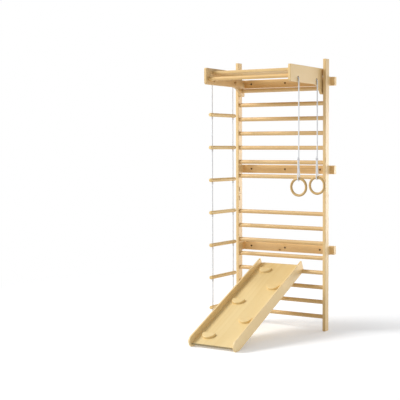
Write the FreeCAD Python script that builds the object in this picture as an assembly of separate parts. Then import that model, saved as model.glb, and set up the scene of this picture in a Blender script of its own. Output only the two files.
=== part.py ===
import FreeCAD, Part
import math
import os

# A wooden climbing wall that is screwed to a room's wall: two stiles with sixteen rungs on
# three planks, a bar unit hooked on the two top rungs, two gymnastic rings and a rope ladder
# that hang from the unit, and a climbing ramp hooked on a lower rung.
# Sizes are in millimetres. X runs along the wall to the right, Y into the room's wall and
# Z up. While the pieces are made, X is 0 in the middle, Y is 0 at the front of the stiles
# and Z is 0 on the floor. At the end all pieces move together, so that the origin lies on
# the room's wall, at the middle screw hole of the middle plank.

# Fits: between glued or screwed pieces, and between a moving piece and what carries it
fit_clearance = 0.05
moving_clearance = 0.3
cut_overrun = 5.0

# Wall frame
wall_height = 2210.0
frame_width = 856.0
stile_thickness = 26.0
stile_depth = 60.0
stile_edge_radius = 2.5
rung_diameter = 34.0
rungs_per_half = 8
rung_end_margin = 115.0
rung_joint_margin = 150.0
rung_socket_depth = 15.0

# Butt joint in the middle of each stile: a threaded rod with two nuts, and a dowel
rod_diameter = 6.0
rod_length = 66.0
connector_setback = 15.5
pocket_width = 12.0
pocket_height = 40.0
pocket_depth = 20.0
pocket_to_joint = 17.0
nut_width = 10.0
nut_sides = 6
nut_height = 5.0
dowel_diameter = 10.0
dowel_length = 50.0
dowel_setback = 42.0

# Planks behind the stiles, each midway between a rung and the next one; rung 1 is the top one
plank_overhang = 32.0
plank_height = 70.0
plank_thickness = 38.0
plank_edge_radius = 3.0
spacer_depth = 32.0
top_plank_below_rung = 1
middle_plank_below_rung = 7
bottom_plank_below_rung = 11
wall_hole_to_stile = 72.0
wall_hole_diameter = 8.0
wall_hole_recess_diameter = 16.0
wall_hole_recess_depth = 6.0

# Wood screws
screw_diameter = 5.0
screw_head_diameter = 10.0
screw_head_height = 3.0
frame_screw_length = 90.0
frame_screw_spacing = 40.0
unit_screw_length = 60.0
ramp_screw_length = 38.0
hold_screw_length = 30.0
screw_plug_length = 4.0

# Arms of the bar unit
arm_thickness = 22.0
arm_to_stile = 8.0
arm_reach = 524.0
arm_height = 132.0
arm_edge_radius = 2.0
arm_top_front_radius = 8.0
arm_bottom_front_radius = 20.0
hook_wall = 20.0
hook_mouth_height = 36.0
hook_mouth_below_axis = 16.0
leg_front = 1.0
leg_back = 52.0
leg_below_rung = 49.0
leg_corner_radius = 8.0
leg_curve_front = -49.0
leg_curve_radius = 134.0
rope_hole_above_edge = 35.0
rope_hole_back_rim_radius = 1.0
front_hole_setback = 121.5
rear_hole_to_stile = 93.5

# Board and bar between the arms
shelf_thickness = 22.0
shelf_setback = 87.0
shelf_below_top = 22.0
shelf_to_rung = 5.0
shelf_edge_radius = 3.0
shelf_screw_margin = 60.0
bar_diameter = 31.0
bar_setback = 43.0
bar_below_top = 87.0
bar_socket_depth = 12.0

# Ropes: each is knotted inside its arm, runs out through a hole and hangs down the outside
rope_diameter = 10.0
rope_arc_share = 0.45
rope_play = 0.5
rope_bend_radius = 13.5
rope_knot_diameter = 22.0
rope_knot_length = 16.0
knot_rounding_share = 0.33

# Rings
ring_outer_diameter = 150.0
ring_tube_diameter = 20.0
ring_centre_height = 1193.0
clasp_above_ring = 147.0
clasp_height = 15.0
clasp_width = 23.5
clasp_thickness = 13.0
clasp_middle = -5.0

# Rope ladder
ladder_rung_diameter = 30.0
ladder_rung_overhang = 30.0
ladder_rung_end_radius = 3.0
ladder_rungs = 7
ladder_first_rung_below_arm = 238.0
ladder_last_rung_height = 191.0
ladder_last_pitch_shortfall = 19.0
ladder_knot_diameter = 14.0
ladder_knot_height = 20.0

# Ramp, hooked on a rung counted from the floor
ramp_rung_from_floor = 4
ramp_slope_degrees = 25.3
ramp_rail_height = 95.0
ramp_rail_thickness = 15.0
ramp_outer_width = 408.0
ramp_rail_below_axis = 8.0
ramp_rail_past_axis = 21.0
ramp_edge_radius = 3.0
ramp_top_corner_radius = 3.0
ramp_toe_past_heel = 51.5
ramp_toe_upper_radius = 42.0
ramp_toe_lower_radius = 25.0
ramp_board_thickness = 18.0
ramp_board_below_rail = 46.0
ramp_board_past_axis = 31.0
ramp_board_foot_setback = 19.0
ramp_board_edge_radius = 1.5
ramp_board_screws = 4
ramp_board_screw_margin = 60.0
ramp_hook_thickness = 30.0
ramp_hook_back = 30.0
ramp_hook_tooth_back = 27.0
ramp_hook_tooth_drop = 28.0
ramp_hook_mouth_front = -5.0
ramp_hook_mouth_drop = 20.0
ramp_hook_front_foot = -24.0
ramp_hook_front = -60.0
ramp_hook_corner_radius = 6.0
ramp_hook_screw_places = [-29.0, -50.0]
ramp_hook_screw_height = 8.0

# Half-moon climbing holds on the ramp
hold_count = 5
hold_first_distance = 68.0
hold_last_to_foot = 146.0
hold_left_x = -97.0
hold_right_x = 100.0
hold_width = 112.0
hold_length = 61.0
hold_height = 18.0
hold_curve_radius = 52.0
hold_corner_radius = 8.0
hold_edge_radius = 6.0
hold_screw_setback = 28.0
hold_screw_spacing = 50.0
third_turn_degrees = 120.0

# The rope's route round a ring's top, chosen by hand: how far backwards and upwards each
# point is from the middle of the ring's top
eye_route = [
    (0.0, 110.0),
    (15.3, 6.3),
    (15.3, -6.3),
    (6.3, -15.3),
    (-6.3, -15.3),
    (-15.3, -6.3),
    (-15.3, 6.3),
    (-10.3, 110.0),
    (-10.3, 168.0),
]
ladder_rope_end_height = 148.0

# Places that follow from the sizes
rung_radius = rung_diameter / 2
rope_radius = rope_diameter / 2
stile_inner_x = frame_width / 2 - stile_thickness
stile_middle_x = frame_width / 2 - stile_thickness / 2
joint_height = wall_height / 2
rung_pitch = (joint_height - rung_end_margin - rung_joint_margin) / (rungs_per_half - 1)
rung_axis_y = stile_depth / 2
plank_half_length = frame_width / 2 + plank_overhang
plank_rungs = {
    "top": top_plank_below_rung,
    "middle": middle_plank_below_rung,
    "bottom": bottom_plank_below_rung,
}
wall_hole_x = stile_inner_x - wall_hole_to_stile
plank_front_y = stile_depth + spacer_depth
plank_back_y = plank_front_y + plank_thickness
arm_inner_x = stile_inner_x - arm_to_stile - arm_thickness
arm_outer_x = arm_inner_x + arm_thickness
rope_hole_radius = rope_radius + rope_play
rope_hole_rim_radius = rope_bend_radius - rope_hole_radius
rope_x = arm_outer_x + rope_play + rope_radius
rope_bend_run = rope_bend_radius / rope_arc_share


def rung_height(number):
    """The height of a rung's axis; rung 1 is the top one."""
    half, place = divmod(number - 1, rungs_per_half)
    if half == 0:
        return wall_height - rung_end_margin - place * rung_pitch
    return rung_end_margin + (rungs_per_half - 1 - place) * rung_pitch


rung_count = 2 * rungs_per_half
top_axis_z = rung_height(1)
arm_top_z = top_axis_z + rung_radius + hook_wall
arm_bottom_z = arm_top_z - arm_height
leg_bottom_z = rung_height(2) - leg_below_rung
hole_z = arm_bottom_z + rope_hole_above_edge
strand_top_z = hole_z - rope_bend_run
front_hole_y = front_hole_setback - arm_reach
hole_places = {"front": front_hole_y, "rear": -rear_hole_to_stile}
ring_radius = (ring_outer_diameter - ring_tube_diameter) / 2
ring_top_z = ring_centre_height + ring_radius
ladder_top_z = arm_bottom_z - ladder_first_rung_below_arm
ladder_span = ladder_top_z - ladder_last_rung_height
ladder_pitch = (ladder_span + ladder_last_pitch_shortfall) / (ladder_rungs - 1)
ramp_axis_z = rung_height(rung_count + 1 - ramp_rung_from_floor)
ramp_inner_x = ramp_outer_width / 2 - ramp_rail_thickness
ramp_slope = math.radians(ramp_slope_degrees)
ramp_rail_top = ramp_rail_height - ramp_rail_below_axis
board_top = ramp_rail_top - ramp_board_below_rail
board_bottom = board_top - ramp_board_thickness
heel_drop = ramp_axis_z - ramp_rail_below_axis * math.cos(ramp_slope)
ramp_heel = heel_drop / math.sin(ramp_slope)
ramp_reach = ramp_heel + ramp_toe_past_heel
toe_height = ramp_toe_past_heel * math.tan(ramp_slope) - ramp_rail_below_axis
hold_pitch = (ramp_reach - hold_first_distance - hold_last_to_foot) / (hold_count - 1)


def vector(point):
    """A point or a direction as FreeCAD wants it."""
    return FreeCAD.Vector(*point)


def box(x_range, y_range, z_range):
    """A block between two places along each axis."""
    corner = vector((x_range[0], y_range[0], z_range[0]))
    length_x = x_range[1] - x_range[0]
    length_y = y_range[1] - y_range[0]
    length_z = z_range[1] - z_range[0]
    return Part.makeBox(length_x, length_y, length_z, corner)


def rounded_box(x_range, y_range, z_range, radius):
    """A block with all its edges rounded."""
    block = box(x_range, y_range, z_range)
    return block.makeFillet(radius, block.Edges)


def cylinder(radius, start, end):
    """A round bar from one point to another."""
    start = vector(start)
    along = vector(end) - start
    return Part.makeCylinder(radius, along.Length, start, along)


def cross_bar(radius, half_length, y, z):
    """A round bar along X, as long to the left as to the right."""
    return cylinder(radius, (-half_length, y, z), (half_length, y, z))


def mirror_x(shape):
    """The same piece on the other side of the middle."""
    return shape.mirror(vector((0, 0, 0)), vector((1, 0, 0)))


def both_sides(shapes):
    """Pieces and their mirror images."""
    return shapes + [mirror_x(shape) for shape in shapes]


def outline(corners):
    """A closed wire in the YZ plane through corners (y, z, radius of the rounding)."""
    turns = []
    for index, (y, z, radius) in enumerate(corners):
        before = vector((0, *corners[index - 1][:2]))
        corner = vector((0, y, z))
        after = vector((0, *corners[(index + 1) % len(corners)][:2]))
        incoming = (corner - before).normalize()
        outgoing = (after - corner).normalize()
        half_turn = incoming.getAngle(outgoing) / 2
        setback = radius * math.tan(half_turn)
        inward = (outgoing - incoming).normalize()
        middle = corner + inward * (radius / math.cos(half_turn) - radius)
        turns.append((corner - incoming * setback, middle, corner + outgoing * setback))
    edges = []
    for index, (start, middle, end) in enumerate(turns):
        following = turns[(index + 1) % len(turns)][0]
        edges.append(Part.Arc(start, middle, end).toShape())
        edges.append(Part.LineSegment(end, following).toShape())
    return Part.Wire(edges)


def plate(corners, x_range, edge_radius):
    """A flat piece with the outline given, between two places along X, its edges rounded."""
    face = Part.Face(outline(corners))
    face.translate(vector((x_range[0], 0, 0)))
    solid = face.extrude(vector((x_range[1] - x_range[0], 0, 0)))
    rim = [edge for edge in solid.Edges if edge.BoundBox.XLength < edge_radius]
    return solid.makeFillet(edge_radius, rim)


def screw(head, direction, length, extra=0.0):
    """A countersunk wood screw from the middle of its flat head, or with extra its hole."""
    head = vector(head)
    direction = vector(direction)
    wide = screw_head_diameter / 2 + extra
    narrow = screw_diameter / 2 + extra
    cone = Part.makeCone(wide, narrow, screw_head_height, head, direction)
    shank = Part.makeCylinder(narrow, length + extra, head, direction)
    return cone.fuse(shank)


def screws_and_holes(places, direction, length):
    """Screws in a list of places along one direction, and their holes as one shape."""
    screws = [screw(place, direction, length) for place in places]
    holes = [screw(place, direction, length, fit_clearance) for place in places]
    return screws, Part.makeCompound(holes)


def plugged_screws(places, length):
    """Screws that go inwards from a piece's right face, sunk under plugs, and their holes."""
    sunk = [(x - screw_plug_length, y, z) for x, y, z in places]
    screws, holes = screws_and_holes(sunk, (-1, 0, 0), length)
    radius = screw_head_diameter / 2
    plugs = [cylinder(radius, start, end) for start, end in zip(sunk, places)]
    room = [holes]
    for start, (x, y, z) in zip(sunk, places):
        room.append(cylinder(radius + fit_clearance, start, (x + cut_overrun, y, z)))
    return screws, plugs, Part.makeCompound(room)


def rope_tube(route, radius):
    """A tube of straight runs and arcs, each as large as its two runs allow, and its radii."""
    points = [vector(point) for point in route]
    edges = []
    radii = []
    start = points[0]
    for before, corner, after in zip(points, points[1:], points[2:]):
        setback = rope_arc_share * min((corner - before).Length, (after - corner).Length)
        incoming = (corner - before).normalize()
        outgoing = (after - corner).normalize()
        half_turn = incoming.getAngle(outgoing) / 2
        arc_radius = setback / math.tan(half_turn)
        inward = (outgoing - incoming).normalize()
        arc_start = corner - incoming * setback
        arc_middle = corner + inward * (arc_radius / math.cos(half_turn) - arc_radius)
        arc_end = corner + outgoing * setback
        edges.append(Part.LineSegment(start, arc_start).toShape())
        edges.append(Part.Arc(arc_start, arc_middle, arc_end).toShape())
        radii.append(arc_radius)
        start = arc_end
    edges.append(Part.LineSegment(start, points[-1]).toShape())
    path = Part.Wire(edges)
    section = Part.Wire([Part.makeCircle(radius, points[0], points[1] - points[0])])
    return path.makePipeShell([section], True, False), path.Length, radii


def frame_screw_set(plank_z):
    """The screws from a plank's back through the spacer blocks into the stiles."""
    places = []
    for side in (-1, 1):
        for offset in (-frame_screw_spacing / 2, frame_screw_spacing / 2):
            places.append((side * stile_middle_x, plank_back_y, plank_z + offset))
    return screws_and_holes(places, (0, -1, 0), frame_screw_length)


def connector_set():
    """The rod, nuts and dowel of the right stile's joint, and what is cut out for them."""
    y = connector_setback
    rod_low = (stile_middle_x, y, joint_height - rod_length / 2)
    rod_high = (stile_middle_x, y, joint_height + rod_length / 2)
    rod = cylinder(rod_diameter / 2, rod_low, rod_high)
    room = [cylinder(rod_diameter / 2 + fit_clearance, rod_low, rod_high)]
    corner_reach = nut_width / 2 / math.cos(math.pi / nut_sides)
    corners = []
    for corner in range(nut_sides):
        angle = 2 * math.pi * corner / nut_sides
        corners.append(vector((corner_reach * math.cos(angle), corner_reach * math.sin(angle), 0)))
    hexagon = Part.makePolygon(corners + corners[:1])
    nuts = []
    for way in (-1, 1):
        seat = joint_height + way * pocket_to_joint
        far = seat + way * pocket_height
        x_range = (stile_inner_x - cut_overrun, stile_inner_x + pocket_depth)
        y_range = (y - pocket_width / 2, y + pocket_width / 2)
        room.append(box(x_range, y_range, (min(seat, far), max(seat, far))))
        nut = Part.Face(hexagon)
        nut.translate(vector((stile_middle_x, y, seat)))
        nuts.append(nut.extrude(vector((0, 0, way * nut_height))).cut(room[0]))
    dowel_half = dowel_length / 2
    dowel_low = (stile_middle_x, dowel_setback, joint_height - dowel_half)
    dowel_high = (stile_middle_x, dowel_setback, joint_height + dowel_half)
    dowel = cylinder(dowel_diameter / 2, dowel_low, dowel_high)
    room.append(cylinder(dowel_diameter / 2 + fit_clearance, dowel_low, dowel_high))
    return rod, nuts, dowel, room


def make_wall():
    """Stiles, rungs, planks, spacer blocks and their fastenings."""
    nodes = {}
    rod, nuts, dowel, connector_room = connector_set()
    frame_screws = []
    frame_holes = []
    plank_heights = {}
    for name, rung in plank_rungs.items():
        plank_heights[name] = (rung_height(rung) + rung_height(rung + 1)) / 2
        screws, holes = frame_screw_set(plank_heights[name])
        frame_screws += screws
        frame_holes.append(holes)

    socket_x = stile_inner_x + rung_socket_depth
    rungs = []
    sockets = []
    for number in range(1, rung_count + 1):
        z = rung_height(number)
        rungs.append(cross_bar(rung_radius, socket_x - fit_clearance, rung_axis_y, z))
        sockets.append(cross_bar(rung_radius + fit_clearance, socket_x, rung_axis_y, z))

    stile_x = (stile_inner_x, frame_width / 2)
    for half, low, high in (("lower", 0, joint_height), ("upper", joint_height, wall_height)):
        stile = rounded_box(stile_x, (0, stile_depth), (low, high), stile_edge_radius)
        stile = stile.cut(connector_room + sockets + frame_holes)
        nodes["stile_" + half + "_right"] = [stile]
        nodes["stile_" + half + "_left"] = [mirror_x(stile)]
    nodes["stile_connector_rods"] = both_sides([rod])
    nodes["stile_connector_nuts"] = both_sides(nuts)
    nodes["stile_dowels"] = both_sides([dowel])
    for number, rung in enumerate(rungs, 1):
        nodes["rung_%02d" % number] = [rung]

    for name, z in plank_heights.items():
        z_range = (z - plank_height / 2, z + plank_height / 2)
        x_range = (-plank_half_length, plank_half_length)
        plank = rounded_box(x_range, (plank_front_y, plank_back_y), z_range, plank_edge_radius)
        for x in (-wall_hole_x, 0, wall_hole_x):
            front = (x, plank_front_y - cut_overrun, z)
            recess_end = (x, plank_front_y + wall_hole_recess_depth, z)
            back = (x, plank_back_y + cut_overrun, z)
            hole = cylinder(wall_hole_diameter / 2, front, back)
            recess = cylinder(wall_hole_recess_diameter / 2, front, recess_end)
            plank = plank.cut([hole, recess])
        nodes["plank_" + name] = [plank.cut(frame_holes)]
        spacer = box(stile_x, (stile_depth, plank_front_y), z_range).cut(frame_holes)
        nodes["spacer_blocks_" + name] = both_sides([spacer])
    nodes["frame_screws"] = frame_screws
    return nodes, plank_heights


def arm_outline():
    """The arm seen from the side: a long board, hooked round the top rung, with a leg."""
    hook_radius = rung_radius + hook_wall
    hook_back = rung_axis_y + hook_radius
    mouth_middle = top_axis_z - hook_mouth_below_axis - hook_mouth_height / 2
    return [
        (-arm_reach, arm_top_z, arm_top_front_radius),
        (hook_back, arm_top_z, hook_radius),
        (hook_back, mouth_middle, leg_corner_radius / 2),
        (leg_back, mouth_middle, leg_corner_radius / 2),
        (leg_back, leg_bottom_z, leg_corner_radius),
        (leg_front, leg_bottom_z, leg_corner_radius),
        (leg_curve_front, arm_bottom_z, leg_curve_radius),
        (-arm_reach, arm_bottom_z, arm_bottom_front_radius),
    ]


def arm_room(x_range):
    """What is cut out of an arm for the two top rungs."""
    seat_radius = rung_radius + moving_clearance
    through = (x_range[0] - cut_overrun, x_range[1] + cut_overrun)

    def bore(radius, y, z):
        return cylinder(radius, (through[0], y, z), (through[1], y, z))

    mouth_top = top_axis_z - hook_mouth_below_axis
    mouth_bottom = mouth_top - hook_mouth_height
    slot_front = rung_axis_y - seat_radius
    past_back = rung_axis_y + rung_radius + hook_wall + cut_overrun
    slot = box(through, (slot_front, rung_axis_y + seat_radius), (mouth_bottom, top_axis_z))
    mouth = box(through, (slot_front, past_back), (mouth_bottom, mouth_top))
    swing_radius = top_axis_z - rung_height(2)
    swing = bore(swing_radius + seat_radius, rung_axis_y, top_axis_z)
    swing = swing.cut(bore(swing_radius - seat_radius, rung_axis_y, top_axis_z))
    swing = swing.common(box(through, (rung_axis_y, past_back), (leg_bottom_z, arm_bottom_z)))
    room = [bore(seat_radius, rung_axis_y, top_axis_z), slot, mouth, swing]
    room.append(bore(seat_radius, rung_axis_y, rung_height(2)))
    return room


def arm_with_rope_holes(x_range):
    """The bare arm with its two rope holes, whose rims are rounded."""
    arm = plate(arm_outline(), x_range, arm_edge_radius)
    for y in hole_places.values():
        inside = (x_range[0] - cut_overrun, y, hole_z)
        outside = (x_range[1] + cut_overrun, y, hole_z)
        arm = arm.cut(cylinder(rope_hole_radius, inside, outside))
    for x, radius in zip(x_range, (rope_hole_back_rim_radius, rope_hole_rim_radius)):
        rims = [edge for edge in arm.Edges if edge.isClosed()]
        rims = [edge for edge in rims if abs(edge.CenterOfMass.x - x) < fit_clearance]
        arm = arm.makeFillet(radius, rims)
    return arm


def make_bar_unit():
    """Arms, board, pull-up bar and their screws."""
    x_range = (arm_inner_x, arm_outer_x)
    shelf_front = shelf_setback - arm_reach
    shelf_back = rung_axis_y - rung_radius - shelf_to_rung
    shelf_top = arm_top_z - shelf_below_top
    shelf_middle_z = shelf_top - shelf_thickness / 2
    shelf_x = (-arm_inner_x, arm_inner_x)
    shelf_z = (shelf_top - shelf_thickness, shelf_top)
    shelf = rounded_box(shelf_x, (shelf_front, shelf_back), shelf_z, shelf_edge_radius)
    bar_y = bar_setback - arm_reach
    bar_z = arm_top_z - bar_below_top
    socket_end = arm_inner_x + bar_socket_depth
    bar = cross_bar(bar_diameter / 2, socket_end - fit_clearance, bar_y, bar_z)
    bar_room = cross_bar(bar_diameter / 2 + fit_clearance, socket_end, bar_y, bar_z)

    front_screw_y = shelf_front + shelf_screw_margin
    rear_screw_y = shelf_back - shelf_screw_margin
    places = [(arm_outer_x, bar_y, bar_z)]
    for y in (front_screw_y, (front_screw_y + rear_screw_y) / 2, rear_screw_y):
        places.append((arm_outer_x, y, shelf_middle_z))
    screws, plugs, holes = plugged_screws(places, unit_screw_length)
    arm = arm_with_rope_holes(x_range).cut(arm_room(x_range) + [bar_room, holes])
    left_holes = mirror_x(holes)
    return {
        "bar_unit_arm_right": [arm],
        "bar_unit_arm_left": [mirror_x(arm)],
        "shelf_board": [shelf.cut([holes, left_holes])],
        "pull_up_bar": [bar.cut([holes, left_holes])],
        "bar_unit_screws": both_sides(screws),
        "bar_unit_screw_plugs": both_sides(plugs),
    }


def barrel(diameter, start, end):
    """A knot or whipping: a short round bar with rounded rims."""
    knot = cylinder(diameter / 2, start, end)
    rims = [edge for edge in knot.Edges if edge.isClosed()]
    return knot.makeFillet(knot_rounding_share * diameter / 2, rims)


def report_rope(name, tube, length, radii):
    """Prints a rope's length, its arcs and how well its volume fits."""
    share = tube.Volume / (math.pi * rope_radius ** 2 * length)
    shown = ", ".join("%.0f" % radius for radius in radii)
    print("%s: length %.0f, volume share %.4f, radii %s" % (name, length, share, shown))


def make_rope_ends():
    """The fixed upper end of each rope: a knot, the piece in the hole and the bend down."""
    ends = []
    for y in hole_places.values():
        knot_inside = (arm_inner_x - rope_knot_length, y, hole_z)
        knot = barrel(rope_knot_diameter, knot_inside, (arm_inner_x, y, hole_z))
        route = [
            (arm_inner_x - rope_knot_length / 2, y, hole_z),
            (rope_x, y, hole_z),
            (rope_x, y, strand_top_z),
        ]
        rope, length, radii = rope_tube(route, rope_radius)
        report_rope("rope end", rope, length, radii)
        ends.append(knot.fuse(rope))
    return {"rope_ends": both_sides(ends)}


def make_ring_set(place):
    """One ring with its rope and the clasp over the ring."""
    y = hole_places[place]
    eye = [(rope_x, y + back, ring_top_z + up) for back, up in eye_route]
    route = [(rope_x, y, strand_top_z)] + eye
    rope, length, radii = rope_tube(route, rope_radius)
    rope_room = rope_tube(route, rope_radius + fit_clearance)[0]
    report_rope("ring rope " + place, rope, length, radii)
    centre = vector((rope_x, y, ring_centre_height))
    ring = Part.makeTorus(ring_radius, ring_tube_diameter / 2, centre, vector((0, 1, 0)))
    clasp_z = ring_top_z + clasp_above_ring
    clasp = rounded_box(
        (rope_x - clasp_thickness / 2, rope_x + clasp_thickness / 2),
        (y + clasp_middle - clasp_width / 2, y + clasp_middle + clasp_width / 2),
        (clasp_z - clasp_height / 2, clasp_z + clasp_height / 2),
        rope_radius / 2,
    )
    return {
        "ring_" + place: [ring],
        "ring_rope_" + place: [rope],
        "ring_rope_clasp_" + place: [clasp.cut(rope_room)],
    }


def make_ladder():
    """The rope ladder: two ropes, rungs that they run through, and the knots."""
    nodes = {}
    heights = [ladder_top_z - place * ladder_pitch for place in range(ladder_rungs - 1)]
    heights.append(ladder_last_rung_height)
    rope_rooms = []
    for place, y in hole_places.items():
        route = [(-rope_x, y, strand_top_z), (-rope_x, y, ladder_rope_end_height)]
        rope, length, radii = rope_tube(route, rope_radius)
        report_rope("ladder rope " + place, rope, length, radii)
        nodes["ladder_rope_" + place] = [rope]
        rope_rooms.append(rope_tube(route, rope_radius + fit_clearance)[0])
    knots = []
    rear_end = hole_places["rear"] + ladder_rung_overhang
    front_end = hole_places["front"] - ladder_rung_overhang
    for number, z in enumerate(heights, 1):
        rung = cylinder(ladder_rung_diameter / 2, (-rope_x, front_end, z), (-rope_x, rear_end, z))
        rims = [edge for edge in rung.Edges if edge.BoundBox.YLength < ladder_rung_end_radius]
        rung = rung.makeFillet(ladder_rung_end_radius, rims)
        nodes["ladder_rung_%d" % number] = [rung.cut(rope_rooms)]
        for y, rope_room in zip(hole_places.values(), rope_rooms):
            top = z - ladder_rung_diameter / 2 - fit_clearance
            bottom = top - ladder_knot_height
            knot = barrel(ladder_knot_diameter, (-rope_x, y, bottom), (-rope_x, y, top))
            knots.append(knot.cut(rope_room))
    nodes["ladder_knots"] = knots
    return nodes


def rung_notch():
    """The room in the ramp for its rung: a seat, and a mouth that opens straight down."""
    seat_radius = rung_radius + moving_clearance
    half_length = ramp_outer_width / 2 + cut_overrun
    x_range = (-half_length, half_length)
    mouth = box(x_range, (-seat_radius, seat_radius), (-ramp_rail_height, 0))
    mouth.rotate(vector((0, 0, 0)), vector((1, 0, 0)), -ramp_slope_degrees)
    return [cross_bar(seat_radius, half_length, 0, 0), mouth]


def ramp_hook():
    """The right hook block under the top end of the ramp's board."""
    radius = ramp_hook_corner_radius
    corners = [
        (ramp_hook_back, board_bottom, radius / 2),
        (ramp_hook_tooth_back, -ramp_hook_tooth_drop, radius),
        (ramp_hook_mouth_front, -ramp_hook_mouth_drop, radius / 2),
        (ramp_hook_front_foot, -ramp_rail_below_axis, radius / 2),
        (ramp_hook_front, -ramp_rail_below_axis, radius / 2),
        (ramp_hook_front, board_bottom, radius / 2),
    ]
    x_range = (ramp_inner_x - ramp_hook_thickness, ramp_inner_x)
    return plate(corners, x_range, ramp_board_edge_radius)


def half_moon(x, flat_edge):
    """A climbing hold on the board, its flat edge uphill and its top edge well rounded."""
    corners = [
        (x - hold_width / 2, flat_edge, hold_corner_radius),
        (x + hold_width / 2, flat_edge, hold_corner_radius),
        (x + hold_width / 2, flat_edge - hold_length, hold_curve_radius),
        (x - hold_width / 2, flat_edge - hold_length, hold_curve_radius),
    ]
    face = Part.Face(outline(corners))
    face.translate(vector((board_top, 0, 0)))
    hold = face.extrude(vector((hold_height, 0, 0)))
    rim = [edge for edge in hold.Edges if edge.BoundBox.XMin > board_top + hold_height / 2]
    hold = hold.makeFillet(hold_edge_radius, rim)
    # The outline was drawn with X as Y and Y as Z, so a third of a turn about the diagonal
    # lays the hold flat.
    hold.rotate(vector((0, 0, 0)), vector((1, 1, 1)), -third_turn_degrees)
    return hold


def make_ramp():
    """The ramp, made level with the rung's axis as its origin, then tilted and moved."""
    rail_corners = [
        (ramp_rail_past_axis, -ramp_rail_below_axis, ramp_top_corner_radius),
        (ramp_rail_past_axis, ramp_rail_top, ramp_top_corner_radius),
        (-ramp_reach, ramp_rail_top, ramp_toe_upper_radius),
        (-ramp_reach, toe_height, ramp_toe_lower_radius),
        (-ramp_heel, -ramp_rail_below_axis, ramp_top_corner_radius),
    ]
    rail_x = (ramp_inner_x, ramp_outer_width / 2)
    board_foot_end = ramp_board_foot_setback - ramp_reach
    board_x = (-ramp_inner_x, ramp_inner_x)
    board_y = (board_foot_end, ramp_board_past_axis)
    board = rounded_box(board_x, board_y, (board_bottom, board_top), ramp_board_edge_radius)

    places = []
    first = ramp_board_past_axis - ramp_board_screw_margin
    step = (board_foot_end + ramp_board_screw_margin - first) / (ramp_board_screws - 1)
    for place in range(ramp_board_screws):
        places.append((rail_x[1], first + place * step, (board_top + board_bottom) / 2))
    for y in ramp_hook_screw_places:
        places.append((rail_x[1], y, ramp_hook_screw_height))
    screws, plugs, right_holes = plugged_screws(places, ramp_screw_length)
    cuts = rung_notch() + [right_holes]
    rail = plate(rail_corners, rail_x, ramp_edge_radius).cut(cuts)
    hook = ramp_hook().cut(cuts)

    holds = []
    hold_screw_places = []
    for number in range(hold_count):
        x = hold_left_x if number % 2 == 0 else hold_right_x
        flat_edge = -hold_first_distance - number * hold_pitch
        holds.append(half_moon(x, flat_edge))
        for offset in (-hold_screw_spacing / 2, hold_screw_spacing / 2):
            place = (x + offset, flat_edge - hold_screw_setback, board_bottom)
            hold_screw_places.append(place)
    hold_screws, hold_holes = screws_and_holes(hold_screw_places, (0, 0, 1), hold_screw_length)

    nodes = {
        "ramp_board": [board.cut([right_holes, mirror_x(right_holes), hold_holes])],
        "ramp_rail_right": [rail],
        "ramp_rail_left": [mirror_x(rail)],
        "ramp_hooks": both_sides([hook]),
        "climbing_holds": [hold.cut(hold_holes) for hold in holds],
        "ramp_screws": both_sides(screws) + hold_screws,
        "ramp_screw_plugs": both_sides(plugs),
    }
    for shapes in nodes.values():
        for shape in shapes:
            shape.rotate(vector((0, 0, 0)), vector((1, 0, 0)), ramp_slope_degrees)
            shape.translate(vector((0, rung_axis_y, ramp_axis_z)))
    return nodes


def main():
    """Builds all nodes, moves them to the part's own origin and writes them."""
    os.makedirs("parts", exist_ok=True)
    nodes, plank_heights = make_wall()
    nodes.update(make_bar_unit())
    nodes.update(make_rope_ends())
    for place in hole_places:
        nodes.update(make_ring_set(place))
    nodes.update(make_ladder())
    nodes.update(make_ramp())
    origin = vector((0, plank_back_y, plank_heights["middle"]))
    for name, shapes in nodes.items():
        shape = shapes[0] if len(shapes) == 1 else Part.makeCompound(shapes)
        shape.translate(origin * -1)
        if not shape.isValid():
            print("not valid:", name)
        for solid in shape.Solids:
            if solid.Volume <= 0:
                print("empty or inside out:", name)
        shape.exportStep("parts/" + name + ".step")
    print("nodes", len(nodes))
    print("solids", sum(len(shapes) for shapes in nodes.values()))
    print("origin from the wall frame", origin)
    print("rope x", rope_x, "strand top", strand_top_z, "ring top", ring_top_z)
    print("ramp axis", ramp_axis_z, "reach", ramp_reach, "floor", -origin.z)


main()
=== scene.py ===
import math

import bmesh
import bpy
from mathutils import Matrix, Vector


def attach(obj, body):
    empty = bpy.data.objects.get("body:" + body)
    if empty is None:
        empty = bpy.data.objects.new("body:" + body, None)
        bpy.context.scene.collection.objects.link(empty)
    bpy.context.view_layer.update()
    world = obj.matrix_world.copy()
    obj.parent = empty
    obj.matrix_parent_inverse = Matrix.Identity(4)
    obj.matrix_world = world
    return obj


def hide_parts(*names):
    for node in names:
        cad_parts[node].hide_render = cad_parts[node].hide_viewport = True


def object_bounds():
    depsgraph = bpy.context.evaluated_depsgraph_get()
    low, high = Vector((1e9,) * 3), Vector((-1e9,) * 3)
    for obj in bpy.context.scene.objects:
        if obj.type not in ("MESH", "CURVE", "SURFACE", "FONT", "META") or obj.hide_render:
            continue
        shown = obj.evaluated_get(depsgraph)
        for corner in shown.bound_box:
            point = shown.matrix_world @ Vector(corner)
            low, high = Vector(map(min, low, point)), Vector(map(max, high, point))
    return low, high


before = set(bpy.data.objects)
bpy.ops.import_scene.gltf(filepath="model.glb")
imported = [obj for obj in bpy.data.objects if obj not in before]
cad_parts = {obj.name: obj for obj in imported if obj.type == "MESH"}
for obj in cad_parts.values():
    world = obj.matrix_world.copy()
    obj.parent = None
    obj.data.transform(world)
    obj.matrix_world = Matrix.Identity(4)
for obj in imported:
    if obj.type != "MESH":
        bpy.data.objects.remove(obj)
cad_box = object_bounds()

# A wooden climbing wall. The frame's own origin is on the room's wall, at the middle of the
# middle plank, and the viewer stands at -Y. Everything here is in metres, unless its name says
# millimetres.

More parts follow.
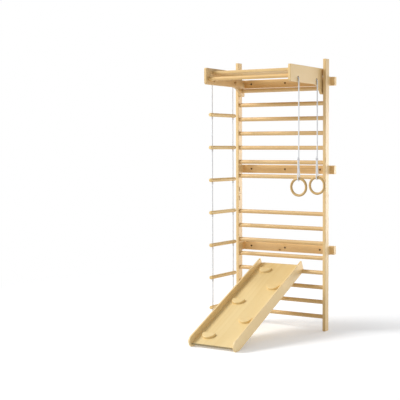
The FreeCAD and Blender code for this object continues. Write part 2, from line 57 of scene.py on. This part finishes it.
FLOOR_Z = cad_box[0][2]

# Counts and places that come from the part
RUNG_COUNT = 16
LADDER_RUNG_COUNT = 7
ARM_INNER_X = 0.372
ROPE_X = 0.3995
HOLE_Z = 0.720
HOLES_Y = {"front": -0.5325, "rear": -0.2235}
STRAND_TOP_Z = 0.690
RING_TOP_Z = -0.057
LADDER_ROPE_END_Z = -1.167
ROPE_RADIUS = 0.005
RAMP_SLOPE = math.radians(25.3)

# Level bored holes, whose insides and rims get painted shade: the axis along which they
# are spaced, their places on it, their heights, and a radius that takes in the recess or
# the rounded rim
WALL_SCREW_HOLE_SHADE = {
    "across": "X", "places": (-0.330, 0.0, 0.330), "heights": (0.720, 0.0, -0.660),
    "radius": 0.0083,
}
ROPE_HOLE_SHADE = {
    "across": "Y", "places": tuple(HOLES_Y.values()), "heights": (HOLE_Z,), "radius": 0.0125,
}


def link(obj):
    """Puts a new object into the scene."""
    bpy.context.scene.collection.objects.link(obj)
    return obj


def mesh_object(name, bm, material):
    """Turns a bmesh into an object of one material, at the origin."""
    mesh = bpy.data.meshes.new(name)
    bm.to_mesh(mesh)
    bm.free()
    mesh.materials.append(material)
    return link(bpy.data.objects.new(name, mesh))


# Camera, fitted to the photograph, which is square. The lens's axis meets it off its centre,
# at a pixel counted from its top left corner.

IMAGE_WIDTH = 400
LENS_AXIS_X = 280.31
LENS_AXIS_Y = 194.70
FOCAL_PIXELS = 919.43
SENSOR_WIDTH_MM = 36.0
CAMERA_PLACE = (3.7776, -6.7612, 0.1850)
CAMERA_TURN_DEGREES = 29.62
CAMERA_DIP_DEGREES = 2.96
CAMERA_REACH = 100.0


def make_camera():
    """The photograph's own viewpoint, with its off-centre framing."""
    data = bpy.data.cameras.new("camera")
    data.sensor_width = SENSOR_WIDTH_MM
    data.lens = FOCAL_PIXELS * SENSOR_WIDTH_MM / IMAGE_WIDTH
    data.shift_x = (IMAGE_WIDTH / 2 - LENS_AXIS_X) / IMAGE_WIDTH
    data.shift_y = (LENS_AXIS_Y - IMAGE_WIDTH / 2) / IMAGE_WIDTH
    data.clip_end = CAMERA_REACH
    camera = link(bpy.data.objects.new("camera", data))
    camera.location = CAMERA_PLACE
    tilt = math.radians(90 - CAMERA_DIP_DEGREES)
    camera.rotation_euler = (tilt, 0, math.radians(CAMERA_TURN_DEGREES))
    bpy.context.scene.camera = camera


# Materials

# A colour mix has several sockets of one name, so its own are taken by number
MIX_SHARE = 0
MIX_FROM = 6
MIX_TO = 7
MIX_RESULT = 2


def colour(hex_code):
    """An sRGB hex colour as linear red, green, blue and alpha."""
    values = []
    for start in (0, 2, 4):
        share = int(hex_code[start:start + 2], 16) / 255
        values.append(share / 12.92 if share <= 0.04045 else ((share + 0.055) / 1.055) ** 2.4)
    return (*values, 1.0)


def add_node(tree, kind, inputs=None, **settings):
    """Adds a shader node with its settings and fills its inputs.

    An input is given a value, a socket to link from, or a node, whose first output is meant.
    """
    node = tree.nodes.new("ShaderNode" + kind)
    for name, value in settings.items():
        setattr(node, name, value)
    for socket, value in (inputs or {}).items():
        if isinstance(value, bpy.types.Node):
            value = value.outputs[0]
        if isinstance(value, bpy.types.NodeSocket):
            tree.links.new(value, node.inputs[socket])
        else:
            node.inputs[socket].default_value = value
    return node


def new_material(name):
    """An empty material, and its tree."""
    material = bpy.data.materials.new(name)
    material.use_nodes = True
    material.node_tree.nodes.clear()
    return material, material.node_tree


def per_metre(sizes_mm):
    """How many of each size in millimetres there are in a metre."""
    return [1000 / size for size in sizes_mm]


def wave_scale(spacing_mm):
    """The scale that sets a wave texture's lines so far apart."""
    # Blender's wave repeats every 2 pi / (20 x scale)
    return 2 * math.pi / 20 * 1000 / spacing_mm


def nearest(tree, value, places):
    """How far a value is from the nearest of some places."""
    least = None
    for place in places:
        offset = add_node(tree, "Math", {0: value, 1: place}, operation="SUBTRACT")
        gap = add_node(tree, "Math", {0: offset}, operation="ABSOLUTE")
        if least is not None:
            gap = add_node(tree, "Math", {0: least, 1: gap}, operation="MINIMUM")
        least = gap
    return least


def hole_shade_mask(tree, position, across, places, heights, radius):
    """1 inside bored holes, where shade is painted, and 0 elsewhere."""
    split = add_node(tree, "SeparateXYZ", {"Vector": position})
    sideways = nearest(tree, split.outputs[across], places)
    upwards = nearest(tree, split.outputs["Z"], heights)
    offset = add_node(tree, "CombineXYZ", {"X": sideways, "Y": upwards})
    away = add_node(tree, "VectorMath", {0: offset}, operation="LENGTH").outputs["Value"]
    return add_node(tree, "Math", {0: away, 1: radius}, operation="LESS_THAN")


# Wood. Three sizes in millimetres are a length along the grain and two widths across it.

# The turn from X to a piece's grain. It is undone to draw the grain along X.
GRAIN_TURNS = {
    "X": (0, 0, 0),
    "Y": (0, 0, -math.pi / 2),
    "Z": (0, math.pi / 2, 0),
    "ramp": (0, RAMP_SLOPE, -math.pi / 2),
}
# The growth rings' centre, and how they stray from circles: slowly, by up to half of
# DRIFT_REACH
PITH = (0, 0.120, 0.090)
DRIFT_MM = (625, 71.4, 71.4)
DRIFT_REACH = 0.012
FIBRE_MM = (45.5, 1.11, 1.11)
PATCH_MM = (455, 111, 111)
# Where in a ring, from 0 to 1, the dark late wood starts, and how far it stands up beside the
# fibres
LATE_WOOD_START = 0.25
LATE_WOOD_RELIEF = 0.4
# The values at which a pattern starts to show and shows fully, and its share of the dark colour
FIBRE_SHADE = (0.35, 0.75, 0.16)
PATCH_SHADE = (0.3, 0.7, 0.25)
# Knots lie one to a cell. A knot's halo and its core each start at a distance from its middle,
# counted in cells, are full at a lesser one, and have a share of their own colour.
KNOT_CELL_MM = (143, 111, 111)
KNOT_HALO = (0.234, 0.09, 0.35)
KNOT_CORE = (0.09, 0.0315, 0.8)
KNOT_COLOUR = "7A4A1E"
# Painted shade on faces cut across the grain, much darker than end grain is by itself, which
# stands in for the shade at the foot of the ramp's board. A face starts to count as cut across,
# and counts fully, at these cosines between its normal and the grain.
END_SHADE_FACING = (0.6, 0.9)
END_SHADE_VALUE = 0.32
# Painted shade inside bored holes and round their rims
HOLE_SHADE_COLOUR = "7E5A2C"
VARNISH_ROUGHNESS = 0.39
FIBRE_ROUGHNESS = 0.12


def blotches(tree, position, sizes_mm, detail, roughness=0.5):
    """Soft irregular blotches of a real length and widths."""
    stretched = add_node(tree, "Mapping", {"Vector": position, "Scale": per_metre(sizes_mm)})
    return add_node(
        tree, "TexNoise",
        {"Vector": stretched, "Scale": 1.0, "Detail": detail, "Roughness": roughness},
    )


def growth_rings(tree, along, ring_mm):
    """0 in the pale early wood and 1 in the late wood's dark line, in rings round a pith."""
    drift = blotches(tree, along, DRIFT_MM, detail=3.0).outputs["Color"]
    centred = add_node(tree, "VectorMath", {0: drift, 1: (0.5, 0.5, 0.5)}, operation="SUBTRACT")
    drifted = add_node(
        tree, "VectorMath", {0: centred, 1: (0, DRIFT_REACH, DRIFT_REACH), 2: along},
        operation="MULTIPLY_ADD",
    )
    from_pith = add_node(tree, "VectorMath", {0: drifted, 1: PITH}, operation="SUBTRACT")
    rings = add_node(
        tree, "TexWave",
        {"Vector": from_pith, "Scale": wave_scale(ring_mm), "Distortion": 0.6, "Detail": 2.0,
         "Detail Scale": 0.4},
        wave_type="RINGS", rings_direction="X", wave_profile="SAW",
    )
    return add_node(
        tree, "MapRange",
        {"Value": rings.outputs["Fac"], "From Min": LATE_WOOD_START, "From Max": 1.0},
        interpolation_type="SMOOTHSTEP",
    )


def with_knots(tree, base, along, dark):
    """A wood's colour with knots, each a brown core in a darker halo."""
    cell = add_node(tree, "Mapping", {"Vector": along, "Scale": per_metre(KNOT_CELL_MM)})
    away = add_node(tree, "TexVoronoi", {"Vector": cell, "Scale": 1.0, "Randomness": 0.9})
    for (edge, full, share), shade in ((KNOT_HALO, dark), (KNOT_CORE, KNOT_COLOUR)):
        spot = add_node(
            tree, "MapRange", {"Value": away, "From Min": edge, "From Max": full},
            interpolation_type="SMOOTHSTEP",
        )
        spot = add_node(tree, "Math", {0: spot, 1: share}, operation="MULTIPLY")
        base = add_node(
            tree, "Mix", {MIX_SHARE: spot, MIX_FROM: base, MIX_TO: colour(shade)}, data_type="RGBA",
        ).outputs[MIX_RESULT]
    return base


def with_painted_end_shade(tree, base, grain, share):
    """A wood's colour with painted shade on the faces that are cut across the grain."""
    facing = add_node(
        tree, "VectorRotate",
        {"Vector": add_node(tree, "TexCoord").outputs["Normal"], "Rotation": GRAIN_TURNS[grain]},
        rotation_type="EULER_XYZ", invert=True,
    )
    facing = add_node(tree, "SeparateXYZ", {"Vector": facing}).outputs["X"]
    facing = add_node(tree, "Math", {0: facing}, operation="ABSOLUTE")
    least, full = END_SHADE_FACING
    sawn = add_node(
        tree, "MapRange", {"Value": facing, "From Min": least, "From Max": full},
        interpolation_type="SMOOTHSTEP",
    )
    sawn = add_node(tree, "Math", {0: sawn, 1: share}, operation="MULTIPLY")
    darker = add_node(tree, "HueSaturation", {"Color": base, "Value": END_SHADE_VALUE})
    return add_node(
        tree, "Mix", {MIX_SHARE: sawn, MIX_FROM: base, MIX_TO: darker}, data_type="RGBA",
    ).outputs[MIX_RESULT]


def wood(name, grain, light, dark, ring_mm, contrast, knots=False, end_shade_share=0.0, holes=None):
    """Varnished wood with its grain along one direction.

    The growth rings are cylinders round a pith that lies outside the piece, so every face
    shows the lines that it would have; fibres and pale and dark patches lie over them. Knots,
    painted shade on the sawn ends, given as a share, and painted shade inside holes are added
    to the pieces that have them.
    """
    material, tree = new_material(name)
    position = add_node(tree, "TexCoord").outputs["Object"]
    along = add_node(
        tree, "VectorRotate", {"Vector": position, "Rotation": GRAIN_TURNS[grain]},
        rotation_type="EULER_XYZ", invert=True,
    )
    late_wood = growth_rings(tree, along, ring_mm)
    fibres = blotches(tree, along, FIBRE_MM, detail=2.0, roughness=0.6)
    patches = blotches(tree, along, PATCH_MM, detail=1.0)

    tone = add_node(tree, "Math", {0: late_wood, 1: contrast}, operation="MULTIPLY")
    for pattern, (least, full, share) in ((fibres, FIBRE_SHADE), (patches, PATCH_SHADE)):
        shade = add_node(
            tree, "MapRange", {"Value": pattern, "From Min": least, "From Max": full},
            interpolation_type="SMOOTHSTEP",
        )
        tone = add_node(tree, "Math", {0: shade, 1: share, 2: tone}, operation="MULTIPLY_ADD")
    base = add_node(
        tree, "Mix", {MIX_SHARE: tone, MIX_FROM: colour(light), MIX_TO: colour(dark)},
        data_type="RGBA",
    ).outputs[MIX_RESULT]
    if knots:
        base = with_knots(tree, base, along, dark)
    # Painted shade on the faces cut across the grain
    if end_shade_share:
        base = with_painted_end_shade(tree, base, grain, end_shade_share)
    # Painted shade inside and round bored holes
    if holes:
        inside = hole_shade_mask(tree, position, **holes)
        base = add_node(
            tree, "Mix", {MIX_SHARE: inside, MIX_FROM: base, MIX_TO: colour(HOLE_SHADE_COLOUR)},
            data_type="RGBA",
        ).outputs[MIX_RESULT]

    rough = add_node(
        tree, "Math", {0: fibres, 1: FIBRE_ROUGHNESS, 2: VARNISH_ROUGHNESS},
        operation="MULTIPLY_ADD",
    )
    relief = add_node(
        tree, "Math", {0: late_wood, 1: LATE_WOOD_RELIEF, 2: fibres}, operation="MULTIPLY_ADD",
    )
    bump = add_node(tree, "Bump", {"Height": relief, "Strength": 0.12, "Distance": 0.0004})
    shader = add_node(
        tree, "BsdfPrincipled",
        {"Base Color": base, "Roughness": rough, "Normal": bump, "IOR": 1.5,
         "Coat Weight": 0.12, "Coat Roughness": 0.25},
    )
    add_node(tree, "OutputMaterial", {"Surface": shader})
    return material


def dress(material, *nodes):
    """Gives CAD nodes a material."""
    for name in nodes:
        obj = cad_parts[name]
        obj.data.materials.clear()
        obj.data.materials.append(material)


def dress_wall_frame():
    """Stiles, rungs, planks and the blocks that stand them off."""
    # Planed spruce under clear varnish: pale yellow-brown, with close straight lines up the stile
    dress(
        wood("spruce_stile", "Z", "E9CC96", "CCA366", ring_mm=4.0, contrast=0.35),
        "stile_upper_left", "stile_upper_right", "stile_lower_left", "stile_lower_right",
    )
    # Turned beech under clear varnish: a warmer, darker brown than spruce, with fine faint lines
    dress(
        wood("beech_rung", "X", "E3C38C", "C69A5C", ring_mm=3.5, contrast=0.3),
        "stile_dowels", *["rung_%02d" % number for number in range(1, RUNG_COUNT + 1)],
    )
    # Planed pine under clear varnish: bright, with bold yellow-brown lines, brown knots and painted
    # shade inside the screw holes
    dress(
        wood("pine_plank", "X", "F6D69E", "D8AB66", ring_mm=6.0, contrast=0.5, knots=True,
             holes=WALL_SCREW_HOLE_SHADE),
        "plank_top", "plank_middle", "plank_bottom",
        "spacer_blocks_top", "spacer_blocks_middle", "spacer_blocks_bottom",
    )


def dress_bar_unit():
    """Arms, the plugs over their screws, board and pull-up bar."""
    # Planed spruce boards: even and pale, with lines along the arm and painted shade inside and
    # round the rope holes. The left arm has a darker copy of the wood, as painted shade for its
    # shaded inner face.
    for name, light, dark, nodes in (
        ("spruce_arm", "E8CA92", "D0A666", ("bar_unit_arm_right", "bar_unit_screw_plugs")),
        ("spruce_arm_painted_shade", "DFC089", "C69B5E", ("bar_unit_arm_left",)),
    ):
        dress(wood(name, "Y", light, dark, ring_mm=5.0, contrast=0.3, holes=ROPE_HOLE_SHADE), *nodes)
    # A planed spruce board whose lines run from arm to arm
    dress(wood("spruce_shelf", "X", "E8CC94", "CDA35E", ring_mm=5.0, contrast=0.35), "shelf_board")
    # A turned beech bar, a little yellower than the rungs
    dress(wood("beech_bar", "X", "E6C282", "C8974C", ring_mm=3.5, contrast=0.3), "pull_up_bar")


def dress_hanging_pieces():
    """Rings and the ladder's rungs."""
    # Glued and turned beech: the darkest wood here, smooth, with very fine lines
    dress(
        wood("beech_ring", "Y", "CDAC70", "B48C4E", ring_mm=2.5, contrast=0.3),
        "ring_front", "ring_rear",
    )
    # Turned beech rods, whose fine lines run along them
    dress(
        wood("beech_ladder_rung", "Y", "E6C98C", "C8A05C", ring_mm=3.5, contrast=0.3),
        *["ladder_rung_%d" % number for number in range(1, LADDER_RUNG_COUNT + 1)],
    )


def dress_ramp():
    """The ramp's board, rails and holds."""
    # Sanded birch plywood: pale and even, with a broad faint figure and painted shade on sawn ends
    dress(
        wood("birch_plywood", "ramp", "EAD198", "DABB7A", ring_mm=9.0, contrast=0.2,
             end_shade_share=0.85),
        "ramp_board",
    )
    # Planed spruce: the palest wood here, with lines along the slope
    dress(
        wood("spruce_ramp_rail", "ramp", "F7DFAB", "E0BA79", ring_mm=4.5, contrast=0.3),
        "ramp_rail_left", "ramp_rail_right", "ramp_hooks", "ramp_screw_plugs",
    )
    # Milled and sanded birch: pale, with hardly a line
    dress(
        wood("birch_hold", "X", "ECD39A", "D8B672", ring_mm=5.0, contrast=0.25),
        "climbing_holds",
    )


ZINC_CLOUD_MM = 4.0
ZINC_ROUGHNESS = 0.28
CLOUD_ROUGHNESS = 0.2


def zinc_plated_steel():
    """Zinc-plated steel: a grey metal with a soft, slightly cloudy shine."""
    material, tree = new_material("zinc_plated_steel")
    position = add_node(tree, "TexCoord").outputs["Object"]
    clouds = add_node(
        tree, "TexNoise", {"Vector": position, "Scale": 1000 / ZINC_CLOUD_MM, "Detail": 2.0},
    )
    base = add_node(
        tree, "Mix", {MIX_SHARE: clouds, MIX_FROM: colour("8E8C86"), MIX_TO: colour("B5B2AA")},
        data_type="RGBA",
    )
    rough = add_node(
        tree, "Math", {0: clouds, 1: CLOUD_ROUGHNESS, 2: ZINC_ROUGHNESS}, operation="MULTIPLY_ADD",
    )
    shader = add_node(
        tree, "BsdfPrincipled",
        {"Base Color": base.outputs[MIX_RESULT], "Roughness": rough, "Metallic": 1.0},
    )
    add_node(tree, "OutputMaterial", {"Surface": shader})
    return material


# The rope's own UV map counts a share of the way round, and an angle that grows by a full turn
# with each plait. The waves of the two windings multiply to 1 on a yarn's crown and -1 in the
# groove beside it, and PLAIT_EDGE is where either is reached in full.
ROPE_UV = "rope"
PLAIT_LENGTH = 0.009
PLAITS_ROUND = 4
PLAIT_EDGE = 0.8


def braided_rope():
    """Braided polyamide rope: white, matt, with a diamond pattern of plaited yarns."""
    material, tree = new_material("braided_white_rope")
    uv = add_node(tree, "UVMap", uv_map=ROPE_UV)
    split = add_node(tree, "SeparateXYZ", {"Vector": uv})
    windings = []
    for turns in (PLAITS_ROUND, -PLAITS_ROUND):
        winding = add_node(
            tree, "Math",
            {0: split.outputs["X"], 1: 2 * math.pi * turns, 2: split.outputs["Y"]},
            operation="MULTIPLY_ADD",
        )
        windings.append(add_node(tree, "Math", {0: winding}, operation="SINE"))
    plait = add_node(tree, "Math", {0: windings[0], 1: windings[1]}, operation="MULTIPLY")
    plait = add_node(
        tree, "MapRange", {"Value": plait, "From Min": -PLAIT_EDGE, "From Max": PLAIT_EDGE},
        interpolation_type="SMOOTHSTEP",
    )
    base = add_node(
        tree, "Mix", {MIX_SHARE: plait, MIX_FROM: colour("DADDE1"), MIX_TO: colour("F1F3F5")},
        data_type="RGBA",
    )
    bump = add_node(tree, "Bump", {"Height": plait, "Strength": 0.3, "Distance": 0.0005})
    shader = add_node(
        tree, "BsdfPrincipled",
        {"Base Color": base.outputs[MIX_RESULT], "Roughness": 0.75, "Sheen Weight": 0.2,
         "Normal": bump},
    )
    add_node(tree, "OutputMaterial", {"Surface": shader})
    return material


WHIPPING_TURN_MM = 1.6


def cord_whipping():
    """Thin grey cord wound close round a rope: matt, with a line for each turn."""
    material, tree = new_material("grey_cord_whipping")
    position = add_node(tree, "TexCoord").outputs["Object"]
    turns = add_node(
        tree, "TexWave",
        {"Vector": position, "Scale": wave_scale(WHIPPING_TURN_MM), "Distortion": 0.8,
         "Detail": 1.0, "Detail Scale": 60.0},
        wave_type="BANDS", bands_direction="Z", wave_profile="SIN",
    ).outputs["Fac"]
    base = add_node(
        tree, "Mix", {MIX_SHARE: turns, MIX_FROM: colour("C6C6CA"), MIX_TO: colour("E8E8EC")},
        data_type="RGBA",
    )
    bump = add_node(tree, "Bump", {"Height": turns, "Strength": 0.4, "Distance": 0.0005})
    shader = add_node(
        tree, "BsdfPrincipled",
        {"Base Color": base.outputs[MIX_RESULT], "Roughness": 0.8, "Normal": bump},
    )
    add_node(tree, "OutputMaterial", {"Surface": shader})
    return material


# Ropes

# Backwards and upwards from the ring's top: down one side of the eye, under the ring's wood
# and up the other side, to the clasp
EYE_ROUTE = [
    (0.0000, 0.1100),
    (0.0153, 0.0063),
    (0.0153, -0.0063),
    (0.0063, -0.0153),
    (-0.0063, -0.0153),
    (-0.0153, -0.0063),
    (-0.0153, 0.0063),
    (-0.0103, 0.1100),
    (-0.0103, 0.1680),
]
# Outwards and upwards from the hole's axis at the arm's inner face, over the hole's rim,
# to a hair above the strand, so that the two don't touch when they swing together
BEND_ROUTE = [
    (-0.0080, 0.0000),
    (0.0084, 0.0000),
    (0.0196, 0.0000),
    (0.0275, -0.0079),
    (0.0275, -0.0191),
    (0.0275, -0.0298),
]
# A long straight stretch gets a point near its arm and one about as far above the eye as the
# eye is long
NEAR_ARM = 0.060
ABOVE_EYE = 0.105
ROUTE_STEPS = 10
ROPE_SIDES = 14
# A stopper bead's outline: shares of its length from the arm, and of its radius
BEAD_PROFILE = [
    (0.0, 0.80), (0.06, 0.90), (0.20, 0.99), (0.45, 1.0), (0.70, 0.92), (0.88, 0.72),
    (0.97, 0.50), (1.0, 0.35),
]
BEAD_LENGTH = 0.016
BEAD_RADIUS = 0.011
BEAD_SIDES = 40


def spline_points(route):
    """Points along the smooth curve that has the route as its control points."""
    curve = bpy.data.curves.new("route", "CURVE")
    curve.dimensions = "3D"
    spline = curve.splines.new("NURBS")
    spline.points.add(len(route) - 1)
    for point, place in zip(spline.points, route):
        point.co = (*place, 1.0)
    spline.order_u = 3
    spline.use_endpoint_u = True
    spline.resolution_u = ROUTE_STEPS
    carrier = link(bpy.data.objects.new("route", curve))
    bpy.context.view_layer.update()
    mesh = bpy.data.meshes.new_from_object(carrier)
    points = [vertex.co.copy() for vertex in mesh.vertices]
    bpy.data.objects.remove(carrier)
    bpy.data.curves.remove(curve)
    bpy.data.meshes.remove(mesh)
    return points


def rope_rings(bm, points):
    """The edges of circles set square to a rope's line, and each vertex's place in its UV map."""
    normal = (points[1] - points[0]).orthogonal().normalized()
    rings = []
    places = {}
    distance = 0.0
    for before, point, after in zip([points[0], *points], points, [*points[1:], points[-1]]):
        distance += (point - before).length
        tangent = (after - before).normalized()
        normal = (normal - tangent * normal.dot(tangent)).normalized()
        turn = Matrix((normal, tangent.cross(normal), tangent)).transposed().to_4x4()
        turn.translation = point
        circle = bmesh.ops.create_circle(
            bm, segments=ROPE_SIDES, radius=ROPE_RADIUS, matrix=turn,
        )["verts"]
        for index, vertex in enumerate(circle):
            places[vertex] = (index / ROPE_SIDES, 2 * math.pi * distance / PLAIT_LENGTH)
        rings.append([bm.edges.get(pair) for pair in zip(circle, circle[1:] + circle[:1])])
    return rings, places


def rope_object(name, points, material):
    """A rope's tube along its points, with a UV map that its plait follows."""
    bm = bmesh.new()
    uv = bm.loops.layers.uv.new(ROPE_UV)
    rings, places = rope_rings(bm, points)
    for low, high in zip(rings, rings[1:]):
        for face in bmesh.ops.bridge_loops(bm, edges=low + high)["faces"]:
            face.smooth = True
            # The last face of a circle ends at its first vertex, a whole way round
            closing = any(places[vertex][0] > 0.5 for vertex in face.verts)
            for loop in face.loops:
                around, plait = places[loop.vert]
                loop[uv].uv = (1.0 if closing and around == 0 else around, plait)
    bmesh.ops.edgeloop_fill(bm, edges=rings[0] + rings[-1])
    bmesh.ops.recalc_face_normals(bm, faces=bm.faces[:])
    return mesh_object(name, bm, material)


def stopper_bead(name, side, y, material):
    """A turned wooden bead inside an arm, which hides the rope's knot and holds it."""
    bm = bmesh.new()
    outline = []
    for along, across in BEAD_PROFILE:
        x = side * (ARM_INNER_X - along * BEAD_LENGTH)
        outline.append(bm.verts.new((x, y, HOLE_Z + across * BEAD_RADIUS)))
    edges = [bm.edges.new(pair) for pair in zip(outline, outline[1:])]
    bmesh.ops.spin(
        bm, geom=outline + edges, cent=(0, y, HOLE_Z), axis=(1, 0, 0), angle=2 * math.pi,
        steps=BEAD_SIDES, use_merge=True,
    )
    for face in bm.faces:
        face.smooth = True
    bmesh.ops.edgeloop_fill(bm, edges=[edge for edge in bm.edges if edge.is_boundary])
    bmesh.ops.recalc_face_normals(bm, faces=bm.faces[:])
    return mesh_object(name, bm, material)


def make_rope_ends(rope_material, bead_material):
    """The fixed upper ends: a stopper bead inside each arm, and the bend over the hole's rim."""
    for arm, side in (("right", 1), ("left", -1)):
        for place, y in HOLES_Y.items():
            route = [(side * (ARM_INNER_X + out), y, HOLE_Z + up) for out, up in BEND_ROUTE]
            name = arm + "_" + place
            end = rope_object("rope_end_" + name, spline_points(route), rope_material)
            bead = stopper_bead("rope_bead_" + name, side, y, bead_material)
            for piece, slot in ((end, "white_rope"), (bead, "rung_beech")):
                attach(piece, "bar_unit")
                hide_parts("rope_ends")


def make_ring_rope(place, y, material):
    """A ring's rope, from under its hole to the eye round the ring and the clasp."""
    straight = [
        (ROPE_X, y, STRAND_TOP_Z),
        (ROPE_X, y, STRAND_TOP_Z - NEAR_ARM),
        (ROPE_X, y, RING_TOP_Z + EYE_ROUTE[0][1] + ABOVE_EYE),
    ]
    eye = [(ROPE_X, y + back, RING_TOP_Z + up) for back, up in EYE_ROUTE]
    points = spline_points(straight + eye)
    rope = rope_object("rope_of_ring_" + place, points, material)
    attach(rope, place + "_ring_rope")
    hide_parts("ring_rope_" + place)


def make_ladder_rope(place, y, material):
    """One of the ladder's ropes, from under its hole to below the last rung."""
    route = [
        (-ROPE_X, y, STRAND_TOP_Z),
        (-ROPE_X, y, STRAND_TOP_Z - NEAR_ARM),
        (-ROPE_X, y, LADDER_ROPE_END_Z),
    ]
    points = spline_points(route)
    rope = rope_object("rope_of_ladder_" + place, points, material)
    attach(rope, "rope_ladder")
    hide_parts("ladder_rope_" + place)


def make_ropes(material):
    """Two ring ropes and two ladder ropes."""
    for place, y in HOLES_Y.items():
        make_ring_rope(place, y, material)
        make_ladder_rope(place, y, material)


# Stage: a plain white floor, soft studio light

FLOOR_REACH = 30.0
# How strongly the floor glows by itself, which lifts the object's shadow
FLOOR_LIFT = 0.23
# The floor turns from its own shade to pure white between these distances from the origin
FLOOR_OWN_SHADE_TO = 2.2
FLOOR_PURE_WHITE_FROM = 4.0
# How strongly the white surroundings light the object
WORLD_LIGHT = 0.45
# Each lamp's place, the place that it points at, its width and height, and its power in watts
LAMPS = {
    "key_from_left_front": ((-7.84, -5.36, 5.88), (0, -0.4, -0.2), (4.4, 4.4), 1120),
    "low_from_right_back": ((2.4, 5.8, -0.2), (0.3, 0, -0.2), (2.4, 2.0), 125),
    "fill_from_right_back": ((4.6, 3.2, -0.3), (0.4, -0.5, -0.3), (2.4, 1.6), 58),
}


def seen_rays(tree):
    """1 for rays that show a surface: from the camera, mirrored or through glass."""
    path = add_node(tree, "LightPath").outputs
    seen = add_node(
        tree, "Math", {0: path["Is Camera Ray"], 1: path["Is Glossy Ray"]}, operation="MAXIMUM",
    )
    return add_node(
        tree, "Math", {0: seen, 1: path["Is Transmission Ray"]}, operation="MAXIMUM",
    )


def studio_floor():
    """Matt white board, which keeps the object's shadow and is pure white further off."""
    material, tree = new_material("studio_floor")
    matt = add_node(tree, "BsdfDiffuse", {"Color": colour("F2F2F2")})
    lift = add_node(tree, "Emission", {"Color": colour("F0F6FF"), "Strength": FLOOR_LIFT})
    lifted = add_node(tree, "AddShader", {0: matt, 1: lift})
    pure = add_node(tree, "Emission", {"Color": colour("FFFFFF"), "Strength": 1.0})
    position = add_node(tree, "TexCoord").outputs["Object"]
    away = add_node(tree, "VectorMath", {0: position}, operation="LENGTH").outputs["Value"]
    far = add_node(
        tree, "MapRange",
        {"Value": away, "From Min": FLOOR_OWN_SHADE_TO, "From Max": FLOOR_PURE_WHITE_FROM},
        interpolation_type="SMOOTHSTEP",
    )
    shown = add_node(tree, "MixShader", {0: far, 1: lifted, 2: pure})
    mixed = add_node(tree, "MixShader", {0: seen_rays(tree), 1: matt, 2: shown})
    add_node(tree, "OutputMaterial", {"Surface": mixed})
    return material


def make_floor():
    """A wide flat floor under the object."""
    bm = bmesh.new()
    bmesh.ops.create_grid(bm, x_segments=1, y_segments=1, size=FLOOR_REACH)
    bmesh.ops.translate(bm, verts=bm.verts[:], vec=(0, 0, FLOOR_Z))
    floor = mesh_object("studio_floor", bm, studio_floor())


def make_world():
    """White surroundings, which light the object less than they show."""
    world = bpy.data.worlds.new("studio")
    world.use_nodes = True
    bpy.context.scene.world = world
    tree = world.node_tree
    tree.nodes.clear()
    white = colour("FFFFFF")
    light = add_node(tree, "Background", {"Color": white, "Strength": WORLD_LIGHT})
    shown = add_node(tree, "Background", {"Color": white, "Strength": 1.0})
    mixed = add_node(tree, "MixShader", {0: seen_rays(tree), 1: light, 2: shown})
    add_node(tree, "OutputWorld", {"Surface": mixed})


def make_lamps():
    """Soft rectangular lamps: a key light, and two weak ones for the shaded side."""
    for name, (place, target, size, power) in LAMPS.items():
        data = bpy.data.lights.new(name, "AREA")
        data.shape = "RECTANGLE"
        data.size, data.size_y = size
        data.energy = power
        lamp = link(bpy.data.objects.new(name, data))
        lamp.location = place
        direction = Vector(target) - Vector(place)
        lamp.rotation_euler = direction.to_track_quat("-Z", "Y").to_euler()


bpy.context.scene.view_settings.view_transform = "Standard"
make_camera()

braid = braided_rope()
# Turned beech beads: warm brown, with very fine lines
bead_beech = wood("beech_bead", "Y", "E0BD84", "C09454", ring_mm=2.5, contrast=0.3)
make_rope_ends(braid, bead_beech)
make_ropes(braid)

dress_wall_frame()
dress_bar_unit()
dress_hanging_pieces()
dress_ramp()
dress(
    zinc_plated_steel(), "frame_screws", "stile_connector_rods", "stile_connector_nuts",
    "bar_unit_screws", "ramp_screws",
)
dress(cord_whipping(), "ladder_knots", "ring_rope_clasp_front", "ring_rope_clasp_rear")

make_floor()
make_world()
make_lamps()
